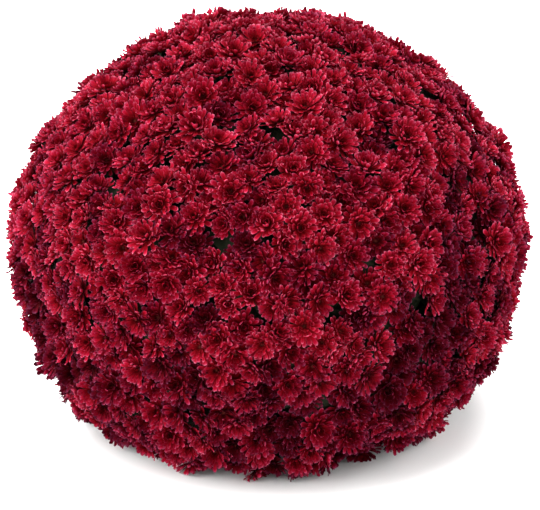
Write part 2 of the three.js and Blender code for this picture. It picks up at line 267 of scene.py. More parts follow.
def surface_normal(point):
    """Outward normals of the ball at points on or near its surface."""
    offset = point - BALL_CENTRE
    upper = offset[..., 2] > 0
    rise = np.where(upper, UPPER_RISE, LOWER_DROP)
    power = np.where(upper, UPPER_POWER, LOWER_POWER)
    level = np.hypot(offset[..., 0], offset[..., 1])
    outward = (level / BALL_RADIUS) ** (power - 1) / BALL_RADIUS
    upward = (np.abs(offset[..., 2]) / rise) ** (power - 1) / rise * np.sign(offset[..., 2])
    level = np.maximum(level, TINY)
    return unit(np.stack([
        outward * offset[..., 0] / level,
        outward * offset[..., 1] / level,
        upward,
    ], axis=-1))


def unit(vectors):
    return vectors / np.maximum(np.linalg.norm(vectors, axis=-1, keepdims=True), TINY)


def turned(first, second, angle):
    """Directions that lie the angles away from the first ones, towards the second."""
    return np.cos(angle)[:, None] * first + np.sin(angle)[:, None] * second


def running_area():
    """Running area of the closed ball, at even steps of polar angle from top to bottom."""
    step = math.pi / SURFACE_STEPS
    middle = (np.arange(SURFACE_STEPS) + 0.5) * step
    change = np.diff(tip_radius(np.arange(SURFACE_STEPS + 1) * step))
    slant = np.hypot(tip_radius(middle) * step, change)
    bands = 2 * math.pi * tip_radius(middle) * np.sin(middle) * slant
    return np.concatenate([[0], np.cumsum(bands)])


def place_draws(count):
    """The random numbers of the CAD model's places: three to each bloom, in its order."""
    state = PLACES_SEED
    draws = []
    for _ in range(3 * count):
        state = (STATE_FACTOR * state + STATE_STEP) % STATES
        draws.append(state / STATES)
    return np.array(draws).reshape(count, 3).T


# -------------------------------------------------------- sprays and blooms' places


def make_sprays():
    sprays = []
    for ring in SPRAY_RINGS:
        for i in range(ring["count"]):
            azimuth = math.radians(ring["turn"] + i * 360 / ring["count"])
            axis = direction_of(math.radians(ring["polar"]), np.array(azimuth))
            depth = SPRAY_DEPTH * tip_radius(math.acos(axis[2]))
            sprays.append({
                "name": f"spray_{len(sprays) + 1:02d}",
                "azimuth": azimuth,
                "axis": axis,
                "joint": surface_point(axis, depth),
                "ring": ring,
            })
    return sprays


def place_blooms(sprays):
    """Gives each spray the tops of its blooms, and each bloom's room and swell."""
    areas = running_area()
    bloom_area = BLOOM_SPACING ** 2 * math.sqrt(3) / 2
    count = round(areas[-1] / bloom_area)
    number = np.arange(count)
    band = np.interp((number + 0.5) * areas[-1] / count, areas, np.arange(SURFACE_STEPS + 1))
    polar = band * math.pi / SURFACE_STEPS
    radius = tip_radius(polar)
    ring_radius = radius * np.maximum(np.sin(polar), LEAST_RING)
    share, turn, low = place_draws(count)
    stray = SPACING_JITTER * BLOOM_SPACING * np.sqrt(share)
    bearing = 2 * math.pi * turn
    golden_angle = math.pi * (3 - math.sqrt(5))
    direction = direction_of(
        polar + stray * np.cos(bearing) / radius,
        number * golden_angle + stray * np.sin(bearing) / ring_radius)
    top = surface_point(direction, CENTRE_SINK * low)
    nearest = np.argmax(direction @ np.array([spray["axis"] for spray in sprays]).T, axis=1)
    flowering = WIDEST_LEVEL + radius * np.cos(polar) > FLOWER_EDGE
    top, nearest = top[flowering], nearest[flowering]
    room, open_side = room_around(top)
    swell, slope = slow_swells(top)
    for i, spray in enumerate(sprays):
        spray["tops"] = top[nearest == i]
        spray["room"] = room[nearest == i]
        spray["open_side"] = open_side[nearest == i]
        spray["swell"] = swell[nearest == i]
        spray["slope"] = slope[nearest == i]


def room_around(tops):
    """Each bloom's share of the usual room among its neighbours, and the side where it has most."""
    away = tops[None] - tops[:, None]
    distance = np.linalg.norm(away, axis=-1)
    near = np.argsort(distance, axis=1)[:, 1:1 + NEIGHBOURS]
    distance = np.take_along_axis(distance, near, axis=1)
    away = unit(np.take_along_axis(away, near[..., None], axis=1))
    room = distance.mean(axis=1)
    more = (distance / room[:, None] - 1)[..., None]
    return room / room.mean(), np.sum(away * more, axis=1)


def slow_swells(tops):
    """How far the heads stand out from the even ball in slow swells, and the swells' slopes."""
    random = np.random.default_rng(SWELL_SEED)
    waves = unit(random.normal(0, 1, (SWELL_WAVES, 3)))
    waves = waves * 2 * math.pi / random.uniform(*SWELL_LENGTHS, (SWELL_WAVES, 1))
    angles = tops @ waves.T + random.uniform(0, 2 * math.pi, SWELL_WAVES)
    share = SWELL_HEIGHT * math.sqrt(2 / SWELL_WAVES)
    return share * np.sin(angles).sum(axis=1), share * np.cos(angles) @ waves


# -------------------------------------------------------- meshes


def above_ground(points):
    """Bends what would reach under the ground smoothly along it."""
    height = points[..., 2]
    low = height < GROUND_SOFTNESS
    bent = GROUND_SOFTNESS * np.exp(np.minimum(height / GROUND_SOFTNESS - 1, 0))
    points[..., 2] = np.where(low, bent, height)
    return points


def make_piece(name, parts, material, slot, *nodes):
    """One piece on the plant from parts of (points, faces, UV places of the faces' corners)."""
    groups = [points.reshape(-1, 3) for points, _, _ in parts]
    starts = np.cumsum([0] + [len(group) for group in groups])
    points = np.concatenate(groups)
    corners = np.concatenate([(part[1] + start).ravel() for part, start in zip(parts, starts)])
    sizes = np.concatenate([np.full(len(faces), faces.shape[1]) for _, faces, _ in parts])
    places = np.concatenate([places for _, _, places in parts])
    mesh = bpy.data.meshes.new(name)
    mesh.vertices.add(len(points))
    mesh.vertices.foreach_set("co", (points * METRES).astype(np.float32).ravel())
    mesh.loops.add(len(corners))
    mesh.loops.foreach_set("vertex_index", corners.astype(np.int32))
    mesh.polygons.add(len(sizes))
    first = np.cumsum(sizes) - sizes
    mesh.polygons.foreach_set("loop_start", first.astype(np.int32))
    mesh.polygons.foreach_set("use_smooth", np.ones(len(sizes), bool))
    layer = mesh.uv_layers.new(name="OFBake")
    layer.data.foreach_set("uv", places.astype(np.float32).ravel())
    mesh.update(calc_edges=True)
    mesh.validate()
    mesh.materials.append(material)
    piece = bpy.data.objects.new(name, mesh)
    bpy.context.scene.collection.objects.link(piece)
    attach(piece, "root")
    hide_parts(*nodes)


def grid_faces(rows, columns):
    """Four-cornered faces between the rows of one grid of points."""
    corner = np.arange(rows * columns).reshape(rows, columns)
    return np.stack([
        corner[:-1, :-1], corner[:-1, 1:], corner[1:, 1:], corner[1:, :-1],
    ], axis=-1).reshape(-1, 4)


def round_grid(sides, levels):
    """Faces between closed rings of points, and their UV places, given each ring's level."""
    rings = len(levels)
    corner = np.arange(rings * sides).reshape(rings, sides)
    after = np.roll(corner, -1, axis=1)
    faces = np.stack([corner[:-1], after[:-1], after[1:], corner[1:]], axis=-1).reshape(-1, 4)
    around = np.arange(sides) / sides
    left, below = np.meshgrid(around, levels[:-1])
    right, above = np.meshgrid(around + 1 / sides, levels[1:])
    places = np.stack([
        np.stack([left, below], axis=-1), np.stack([right, below], axis=-1),
        np.stack([right, above], axis=-1), np.stack([left, above], axis=-1),
    ], axis=2).reshape(-1, 2)
    return faces, places


def fan_faces(sides):
    """Three-cornered faces round a middle point, which comes before the points of its rim."""
    rim = np.arange(sides)
    return np.stack([np.zeros(sides, int), 1 + rim, 1 + (rim + 1) % sides], axis=-1)


def repeated(faces, copies, points_each):
    """The faces of many copies of one shape, whose points follow each other."""
    starts = np.arange(copies) * points_each
    return (faces + starts[:, None, None]).reshape(-1, faces.shape[1])


# -------------------------------------------------------- flower heads


def bloom_frames(normal, lean, random):
    """A turned and tilted set of axes for each bloom, as columns across, along and outward."""
    count = len(normal)
    tilt = BLOOM_TILT * np.sqrt(random.random(count))
    bearing = 2 * math.pi * random.random(count)
    upright = np.abs(normal[:, 2:]) > NEARLY_UPRIGHT
    side = unit(np.cross(normal, np.where(upright, [1.0, 0, 0], [0, 0, 1.0])))
    leaning = turned(side, np.cross(normal, side), bearing)
    outward = unit(turned(unit(normal), leaning, tilt))
    outward = unit(outward + lean[:, None] * [0, 0, 1.0])
    spin = 2 * math.pi * random.random(count)
    side = unit(np.cross(outward, leaning + SPIN_GUIDE))
    across = turned(side, np.cross(outward, side), spin)
    return np.stack([across, np.cross(outward, across), outward], axis=-1)


def petals_of_ring(ring, blooms, openness, random):
    """Points of one ring of petals in each bloom's own axes: (bloom, petal, row, column, 3)."""
    shape = (blooms, ring["count"])
    step = 2 * math.pi / ring["count"]
    azimuth = step * (np.arange(ring["count"]) + random.random((blooms, 1)))
    azimuth = azimuth + random.normal(0, AZIMUTH_SPREAD * step, shape)
    rise = np.radians(ring["rise"] + random.normal(0, RISE_SPREAD, shape)) + openness[:, None]
    curl = np.radians(ring["curl"] + random.normal(0, CURL_SPREAD, shape))
    length = ring["length"] * (1 + random.normal(0, LENGTH_SPREAD, shape))
    twist = np.radians(random.normal(0, TWIST_SPREAD, shape))
    width = ring["width"] * (1 + random.normal(0, WIDTH_SPREAD, shape))

    slope = rise[..., None] + curl[..., None] * PETAL_CURVE
    stretch = length[..., None] * np.diff(PETAL_ROWS)
    steps = np.stack([stretch * np.cos(slope), stretch * np.sin(slope)], axis=-1)
    line = np.concatenate([np.zeros_like(steps[..., :1, :]), np.cumsum(steps, axis=-2)], axis=-2)
    slope = np.concatenate([slope[..., :1], slope], axis=-1)[..., None]
    columns = np.ones(len(PETAL_COLUMNS))
    away = ring["root"] + line[..., :1] * columns
    height = ring["height"] + line[..., 1:] * columns
    back = length[..., None] * TIP_ROUNDING * TIP_CORNERS
    away[..., -1, :] -= back * np.cos(slope[..., -1, :])
    height[..., -1, :] -= back * np.sin(slope[..., -1, :])

    half = (width / 2)[..., None, None] * PETAL_WIDTHS[:, None] * PETAL_COLUMNS
    sideways = half * np.cos(PETAL_CUPS)[:, None]
    lifted = np.abs(half) * np.sin(PETAL_CUPS)[:, None]
    cosine = np.cos(twist)[..., None, None]
    sine = np.sin(twist)[..., None, None]
    sideways, lifted = sideways * cosine - lifted * sine, sideways * sine + lifted * cosine
    away = away - lifted * np.sin(slope)
    height = height + lifted * np.cos(slope)

    outward = np.stack([np.cos(azimuth), np.sin(azimuth)], axis=-1)[..., None, None, :]
    beside = np.stack([-np.sin(azimuth), np.cos(azimuth)], axis=-1)[..., None, None, :]
    level = outward * away[..., None] + beside * sideways[..., None]
    return np.concatenate([level, height[..., None]], axis=-1)


def petal_tones(spray, petals, random):
    """The colour strip of each petal: near its bloom's own, with painted light and shade: darker
    low down, on sunk heads and in the swells' hollows, lighter high up and on the swells.
    """
    blooms = len(spray["tops"])
    height = spray["tops"][:, 2:] / BALL_TOP - 0.5
    own = random.beta(*TONE_SHAPE, (blooms, 1)) * (TONES - 1)
    # Painted light and shade: lighter strips high up and on swells, darker ones low down, in
    # hollows and on sunk heads.
    own = own + HEIGHT_PAINTED_SHADE * height + SWELL_PAINTED_SHADE * spray["swell"][:, None] / SWELL_HEIGHT
    own = own - SUNK_PAINTED_SHADE * spray["sunk"]
    tone = own + random.normal(0, TONE_SPREAD, (blooms, petals))
    return np.clip(np.rint(tone), 0, TONES - 1)


def petal_places(spray, random):
    """UV places of the points of all a spray's petals."""
    colour = np.concatenate([np.full(ring["count"], ring["colour"]) for ring in PETAL_RINGS])
    tone = petal_tones(spray, len(colour), random).reshape(-1, 1, 1)
    colour = np.tile(colour, len(spray["tops"])).reshape(-1, 1, 1)
    across = PETAL_SIDES * np.ones((len(PETAL_ROWS), 1))
    along = PETAL_ROWS[:, None] * np.ones(len(PETAL_SIDES))
    along[-1] -= TIP_ROUNDING * TIP_CORNERS
    # The inner rings' shorter reach up the colour map keeps them dark: painted shade in the heads'
    # cups.
    return np.stack([
        (tone + across) / TONES,
        PETAL_FOOT + PETAL_REACH * along * colour * np.ones_like(tone),
    ], axis=-1).reshape(-1, 2)


def stand_heads(spray, random):
    """Sets the axes and roots of a spray's heads, and gives their sizes and how far they open."""
    tops = spray["tops"]
    blooms = len(tops)
    facing = surface_normal(tops) + OPEN_LEAN * spray["open_side"] - spray["slope"]
    height = tops[:, 2] / BALL_TOP
    axes = bloom_frames(facing, np.interp(height, (0, 1), UPWARD_LEANS), random)
    growth = random.normal(0, GROWTH_SPREAD, blooms) + OPEN_GROWTH * (spray["room"] - 1)
    growth = growth + HEIGHT_GROWTH * (height - 0.5)
    size = 1 + np.clip(growth, *GROWTH_LIMITS)
    openness = np.radians(random.normal(*OPENNESS, blooms))
    proud = random.normal(MEAN_PROUD, PROUD_SPREAD, (blooms, 1)) + spray["swell"][:, None]
    sunk_share = np.interp(height, (0, 1), SUNK_SHARES)
    spray["sunk"] = random.random((blooms, 1)) < sunk_share[:, None]
    proud = np.clip(proud - SUNK_DEPTH * spray["sunk"], *PROUD_LIMITS)
    spray["axes"] = axes
    spray["roots"] = tops + OPEN_SHIFT * spray["open_side"] - axes[..., 2] * (BLOOM_HEIGHT - proud)
    return size, openness


def set_on_heads(spray, size, points):
    """Points in the heads' own axes, (bloom, point, 3), set where each head stands."""
    points = np.einsum("bij,bpj->bpi", spray["axes"], points * size[:, None, None])
    return above_ground(points + spray["roots"][:, None])


def make_discs(spray, size):
    """The low domes of tight florets in the middle of the heads."""
    angle = 2 * math.pi * np.arange(DISC_SIDES) / DISC_SIDES
    rim = np.stack([
        DISC_RADIUS * np.cos(angle), DISC_RADIUS * np.sin(angle),
        np.full(DISC_SIDES, DISC_RIM_HEIGHT)], axis=-1)
    disc = np.concatenate([[[0, 0, DISC_HEIGHT]], rim])
    discs = np.tile(disc, (len(size), 1, 1))
    faces = repeated(fan_faces(DISC_SIDES), len(size), len(disc))
    return set_on_heads(spray, size, discs), faces, np.tile(FLORET_PLACES, (len(faces), 1))


def make_heads(spray, random, material):
    """All the flower heads of a spray as one piece, in place of its CAD solid."""
    size, openness = stand_heads(spray, random)
    blooms = len(size)
    petals = np.concatenate(
        [petals_of_ring(ring, blooms, openness, random) for ring in PETAL_RINGS], axis=1)
    rows, columns = petals.shape[2:4]
    faces = repeated(grid_faces(rows, columns), blooms * petals.shape[1], rows * columns)
    places = petal_places(spray, random)
    points = set_on_heads(spray, size, petals.reshape(blooms, -1, 3))
    make_piece(
        spray["name"] + "_heads",
        [(points, faces, places[faces.ravel()]), make_discs(spray, size)],
        material, "petals", spray["name"] + "_blooms")


# -------------------------------------------------------- stems


def bezier(ends, steps):
    """Points of cubic curves: ends is (curve, 4, 3), and the result (curve, steps + 1, 3)."""
    t = np.linspace(0, 1, steps + 1)[:, None]
    weights = np.stack([(1 - t) ** 3, 3 * t * (1 - t) ** 2, 3 * t ** 2 * (1 - t), t ** 3], axis=0)
    return np.einsum("ktj,nki->nti", weights, ends)


def tubes(lines, radii, sides, places_from, places_to):
    """Round tubes along lines of points, (curve, ring, 3), with a radius for each ring."""
    curves, rings = lines.shape[:2]
    ahead = unit(np.gradient(lines, axis=1))
    guide = unit(np.cross(ahead[:, :1], ahead[:, -1:]) + TUBE_GUIDE)
    side = unit(np.cross(ahead, guide))
    other = np.cross(ahead, side)
    angle = 2 * math.pi * np.arange(sides) / sides
    ring = side[:, :, None] * np.cos(angle)[:, None] + other[:, :, None] * np.sin(angle)[:, None]
    points = lines[:, :, None] + ring * np.asarray(radii)[..., None, None]
    faces, places = round_grid(sides, np.linspace(places_from, places_to, rings))
    return points, repeated(faces, curves, rings * sides), np.tile(places, (curves, 1))


def branch_ends(spray):
    """The four points that shape a spray's branch, as in the CAD model."""
    leaving = direction_of(math.radians(90 - spray["ring"]["rise"]), np.array(spray["azimuth"]))
    foot = np.array([0, 0, CROWN_SHOULDER]) + leaving * (CROWN_RADIUS + SEAT_GAP)
    end = spray["joint"] - spray["axis"] * SEAT_GAP
    pull = BRANCH_REACH * np.linalg.norm(foot - end)
    return np.array([foot, foot + leaving * pull, end - spray["axis"] * pull, end])


def make_branch(spray):
    line = bezier(branch_ends(spray)[None], BRANCH_STEPS)
    spray["branch"] = line[0]
    radii = np.linspace(BRANCH_BASE_RADIUS, BRANCH_TIP_RADIUS, BRANCH_STEPS + 1)
    return tubes(line, radii, BRANCH_SIDES, *STEM_MAP[0:2])


def make_shoots(spray):
    """Shoots from the branch's end, and the end and direction of each head's own shoot."""
    root = spray["roots"]
    leaders = root[BLOOMS_PER_SHOOT // 2::BLOOMS_PER_SHOOT]
    own = np.argmin(np.linalg.norm(root[:, None] - leaders, axis=-1), axis=1)
    normal = surface_normal(leaders)
    knots = leaders - normal * SHOOT_DEPTH
    knots = knots + (spray["joint"] - knots) * SHOOT_DRAW
    joint = np.broadcast_to(spray["joint"], knots.shape)
    reach = np.linalg.norm(knots - joint, axis=-1, keepdims=True)
    leaving = (unit(knots - joint) + spray["axis"]) / 2
    lines = bezier(np.stack([
        joint, joint + leaving * reach * SHOOT_PULLS[0],
        knots - normal * reach * SHOOT_PULLS[1], knots,
    ], axis=1), SHOOT_STEPS)
    radii = np.linspace(*SHOOT_RADII, SHOOT_STEPS + 1)
    return tubes(lines, radii, SHOOT_SIDES, *STEM_MAP[1:3]), knots[own], normal[own]


def make_stalks(spray, start, leaving):
    """Each head's stalk, which widens into a green cup."""
    root = spray["roots"]
    outward = spray["axes"][..., 2]
    reach = np.linalg.norm(root - start, axis=-1, keepdims=True)
    foot = root - outward * CALYX_DEPTH
    spray["stalks"] = bezier(np.stack([
        start, start + leaving * reach * STALK_PULLS[0],
        foot - outward * reach * STALK_PULLS[1], foot,
    ], axis=1), STALK_STEPS)
    rim = root - outward * CALYX_TOP
    lines = np.concatenate([spray["stalks"], rim[:, None]], axis=1)
    radii = [STALK_RADIUS] * STALK_STEPS + [STALK_RADIUS * CALYX_NECK, CALYX_RADIUS]
    return tubes(above_ground(lines), radii, STALK_SIDES, *STEM_MAP[2:4])


def make_stems(spray, material):
    """A spray's branch, its shoots, and each head's stalk and green cup."""
    branch = make_branch(spray)
    shoots, ends, leaving = make_shoots(spray)
    stalks = make_stalks(spray, ends, leaving)
    make_piece(
        spray["name"] + "_shoots", [branch, shoots, stalks], material, "foliage",
        spray["name"] + "_stem")


# -------------------------------------------------------- leaves


def leaf_shape(outline):
    """A flat leaf's points, as distances along and across in leaf lengths, and its faces."""
    count = len(outline)
    midrib = outline * [1, 0]
    mirrored = outline * [1, -1]
    points = np.concatenate([midrib, outline, mirrored, [[1.0, 0.0]]])
    faces = []
    for rib in range(count - 1):
        edge = count + rib
        mirror = 2 * count + rib
        faces += [(rib, edge, edge + 1), (rib, edge + 1, rib + 1)]
        faces += [(rib, rib + 1, mirror + 1), (rib, mirror + 1, mirror)]
    tip = 3 * count
    faces += [(count - 1, 2 * count - 1, tip), (count - 1, tip, 3 * count - 1)]
    return points, np.array(faces)[:, ::-1]


def leaves(outline, foot, midrib, upward, length, random):
    """Many leaves, each drooping along its midrib and folded a little about it."""
    shape, faces = leaf_shape(outline)
    count = len(foot)
    along = shape[:, 0]
    across = shape[:, 1] * LEAF_WIDENING
    droop = random.uniform(*LEAF_DROOPS, (count, 1))
    fold = random.uniform(*LEAF_FOLDS, (count, 1))
    wave = random.uniform(-LEAF_WAVE, LEAF_WAVE, (count, 1)) * np.sin(LEAF_WAVE_TURN * along)
    level = np.abs(across) * (fold + wave) - droop * along ** 2
    beside = unit(np.cross(upward, midrib))
    upward = np.cross(midrib, beside)
    points = foot[:, None] + length[:, None, None] * (
        midrib[:, None] * along[:, None] + beside[:, None] * across[:, None]
        + upward[:, None] * level[..., None])
    tone = random.integers(0, LEAF_TONES, count)[:, None]
    places = np.stack([
        (tone + 0.5 + LEAF_STRIP_HALF * across / np.max(across)) / LEAF_TONES,
        LEAF_MAP_FOOT + LEAF_MAP_REACH * along * np.ones_like(tone),
    ], axis=-1).reshape(-1, 2)
    faces = repeated(faces, count, len(shape))
    return above_ground(under_heads(points)), faces, places[faces.ravel()]


def under_heads(points):
    """Presses leaves that would show above the flower heads back under them."""
    offset = points - BALL_CENTRE
    distance = np.maximum(np.linalg.norm(offset, axis=-1), TINY)
    limit = tip_radius(np.arccos(np.clip(offset[..., 2] / distance, -1, 1))) - LEAF_COVER
    share = np.minimum(limit / distance, 1)[..., None]
    return offset * share + BALL_CENTRE


def walked_along(line):
    """The distance of each point of a line from its start, along the line."""
    return np.concatenate([[0], np.cumsum(np.linalg.norm(np.diff(line, axis=0), axis=1))])


def point_along(line, distance):
    """The point that lies a distance along a line from its start."""
    walked = walked_along(line)
    return np.array([np.interp(distance, walked, places) for places in line.T])


def small_leaves(spray, random):
    """Leaves on each head's stalk, which reach out and up under the gaps between the heads."""
    heads = len(spray["roots"])
    count = heads * LEAVES_PER_STALK
    across, beside, outward = np.repeat(spray["axes"], LEAVES_PER_STALK, axis=0).transpose(2, 0, 1)
    stalks = np.repeat(spray["stalks"], LEAVES_PER_STALK, axis=0)
    length = random.uniform(*SMALL_LEAF_LENGTHS, count)
    depth = random.uniform(*LEAF_FOOT_DEPTHS, count)
    foot = np.array([point_along(line[::-1], back) for line, back in zip(stalks, depth)])
    climb = (depth - random.uniform(*LEAF_TIP_DEPTHS, count)) / length
    tilt = np.arcsin(np.clip(climb, *LEAF_CLIMBS))
    even_turn = 2 * math.pi / LEAVES_PER_STALK * (np.arange(count) % LEAVES_PER_STALK)
    bearing = np.repeat(2 * math.pi * random.random(heads), LEAVES_PER_STALK)
    bearing = bearing + even_turn + random.normal(0, LEAF_TURN_SPREAD, count)
    midrib = unit(turned(turned(across, beside, bearing), outward, tilt))
    return leaves(LEAF_OUTLINE, foot, midrib, outward, length, random)


def large_leaves(spray, random):
    """The leaves along the branch, where the CAD model has them."""
    line = spray["branch"]
    feet, midribs, upwards = [], [], []
    for share, side in spray["ring"]["leaves"]:
        distance = share * walked_along(line)[-1]
        foot = point_along(line, distance)
        ahead = unit(point_along(line, distance + 1) - foot)
        aside = side * np.array([math.cos(spray["azimuth"]), math.sin(spray["azimuth"]), 0])
        midrib = unit(LARGE_LEAF_ASIDE * aside + LARGE_LEAF_AHEAD * ahead)
        feet.append(foot)
        midribs.append(midrib)
        upwards.append(unit(np.array([0, 0, 1]) - midrib * midrib[2]))
    length = np.full(len(feet), LARGE_LEAF_LENGTH)
    return leaves(
        LARGE_LEAF_OUTLINE, np.array(feet), np.array(midribs), np.array(upwards), length, random)


def make_leaves(spray, random, material):
    parts = [small_leaves(spray, random), large_leaves(spray, random)]
    make_piece(spray["name"] + "_leaves", parts, material, "foliage", spray["name"] + "_stem")


# -------------------------------------------------------- crown


def crown_wall():
    """The ridged bark's rings of points: (ring, side, 3)."""
    angle = 2 * math.pi * np.arange(CROWN_SIDES) / CROWN_SIDES
    full_height = CROWN_SHOULDER + CROWN_RADIUS
    height = np.linspace(0, full_height, CROWN_RINGS)[:, None]
    flare = [0, CROWN_FLARE * CROWN_SHOULDER]
    taper = np.interp(height, flare, [CROWN_FOOT_RADIUS, CROWN_RADIUS])
    over = np.clip((height - CROWN_SHOULDER) / CROWN_RADIUS, 0, 1)
    ridges = sum(
        rise * np.sin(count * angle + twist * height) for count, twist, rise in BARK_RIDGES)
    radius = taper * np.sqrt(1 - over ** 2) - BARK_DEPTH + ridges * (1 - over)
    radius = np.maximum(radius, 0)
    return np.stack([
        radius * np.cos(angle), radius * np.sin(angle), height * np.ones(CROWN_SIDES)], axis=-1)


def make_crown(material):
    """The woody crown, with ridged bark and a flat cut foot."""
    wall = crown_wall()
    faces, places = round_grid(CROWN_SIDES, np.linspace(BARK_MAP_FOOT, 1, CROWN_RINGS))
    cut = np.concatenate([[[0, 0, 0]], wall[0]])
    cut_faces = fan_faces(CROWN_SIDES)[:, [0, 2, 1]]  # facing down
    cut_places = CUT_MAP_RADIUS * cut[cut_faces.ravel(), :2] / CROWN_FOOT_RADIUS + CUT_MAP_MIDDLE
    make_piece(
        "crown_bark", [(wall, faces, places), (cut, cut_faces, cut_places)],
        material, "bark", "crown")


# -------------------------------------------------------- materials

RIB_TURN = 34  # radians of the ribs' wave across a petal
RIB_SHARE = 0.07
RIB_COLOUR = (0.45, 0.3, 0.35, 1)
# Pale petal margins: partly the petals' own paler edges, partly painted rim highlight.
MARGIN_SHARE = 0.45
MARGIN_AND_HIGHLIGHT_COLOUR = (0.46, 0.10, 0.18, 1)
MARGIN_SIDE_POWER = 5  # how sharply the pale margin, partly the petal's own paler edge and partly painted rim highlight, rises to the sides
MARGIN_TIP_POWER = 3  # and to the tip

SIDE_VEIN_SLANT = 0.8
SIDE_VEIN_TURN = 26  # radians of the side veins' wave along a leaf
SIDE_VEIN_SHARPNESS = 5
SIDE_VEIN_SHARE = 0.45  # of the midrib's strength
MIDRIB_SHARPNESS = 16
VEIN_SHARE = 0.6
VEIN_COLOUR = (0.024, 0.028, 0.015, 1)
MOTTLE_SHARE = 0.5
MOTTLE_COLOUR = (0.5, 0.6, 0.5, 1)

STREAK_SHARE = 0.7
STREAK_COLOUR = (0.5, 0.5, 0.45, 1)

CUT_MAP_TOP = 0.195
WOOD_RING_TURN = 420  # radians of the rings' wave over one unit of the map
WOOD_RING_DEPTH = 0.3


class Nodes:
    """A short way to write a node tree. A value is a number, a colour or a node's output."""

    def __init__(self, tree):
        self.tree = tree

    def plug(self, value, socket):
        if isinstance(value, bpy.types.NodeSocket):
            self.tree.links.new(value, socket)
        else:
            socket.default_value = value

    def add(self, kind, *inputs):
        node = self.tree.nodes.new(kind)
        for socket, value in zip(node.inputs, inputs):
            self.plug(value, socket)
        return node

    def math(self, operation, *inputs):
        node = self.add("ShaderNodeMath", *inputs)
        node.operation = operation
        return node.outputs[0]

    def ramp(self, factor, stops):
        node = self.add("ShaderNodeValToRGB", factor)
        elements = node.color_ramp.elements
        while len(elements) < len(stops):
            elements.new(0.5)
        for element, (position, colour) in zip(elements, stops):
            element.position = position
            element.color = (*colour, 1)
        return node.outputs[0]

    def mix(self, blend, factor, first, second):
        node = self.tree.nodes.new("ShaderNodeMix")
        node.data_type = "RGBA"
        node.blend_type = blend
        for key, value in (("Factor_Float", factor), ("A_Color", first), ("B_Color", second)):
            socket = next(s for s in node.inputs if s.identifier == key)
            self.plug(value, socket)
        return next(s for s in node.outputs if s.identifier == "Result_Color")


class Surface(Nodes):
    """A material's node tree, with the UV place that all its colours follow."""

    def __init__(self, name, roughness):
        self.material = bpy.data.materials.new(name)
        self.material.use_nodes = True
        super().__init__(self.material.node_tree)
        self.shader = self.tree.nodes["Principled BSDF"]
        self.shader.inputs["Roughness"].default_value = roughness
        place = self.add("ShaderNodeUVMap")
        place.uv_map = "OFBake"
        self.place = place.outputs[0]
        split = self.add("ShaderNodeSeparateXYZ", self.place)
        self.u = split.outputs[0]
        self.v = split.outputs[1]

    def strips(self, count):
        """The tone of a colour map's strip, from 0 to 1, and the place across it."""
        strip = self.math("MULTIPLY", self.u, count)
        tone = self.math("DIVIDE", self.math("FLOOR", strip), count - 1)
        return tone, self.math("FRACT", strip)

    def thin_line(self, distance, sharpness):
        """1 where the distance is nothing, falling to 0 away from it."""
        away = self.math("MINIMUM", self.math("MULTIPLY", distance, sharpness), 1)
        return self.math("SUBTRACT", 1, away)

    def noise(self, scale, detail, stretch):
        mapping = self.add("ShaderNodeMapping", self.place)
        mapping.inputs["Scale"].default_value = stretch
        node = self.tree.nodes.new("ShaderNodeTexNoise")
        self.plug(mapping.outputs[0], node.inputs["Vector"])
        node.inputs["Scale"].default_value = scale
        node.inputs["Detail"].default_value = detail
        return node.outputs["Fac"]

    def colour(self, value):
        self.plug(value, self.shader.inputs["Base Color"])

    def bump(self, height, strength, distance):
        node = self.tree.nodes.new("ShaderNodeBump")
        node.inputs["Strength"].default_value = strength
        node.inputs["Distance"].default_value = distance
        self.plug(height, node.inputs["Height"])
        self.plug(node.outputs[0], self.shader.inputs["Normal"])


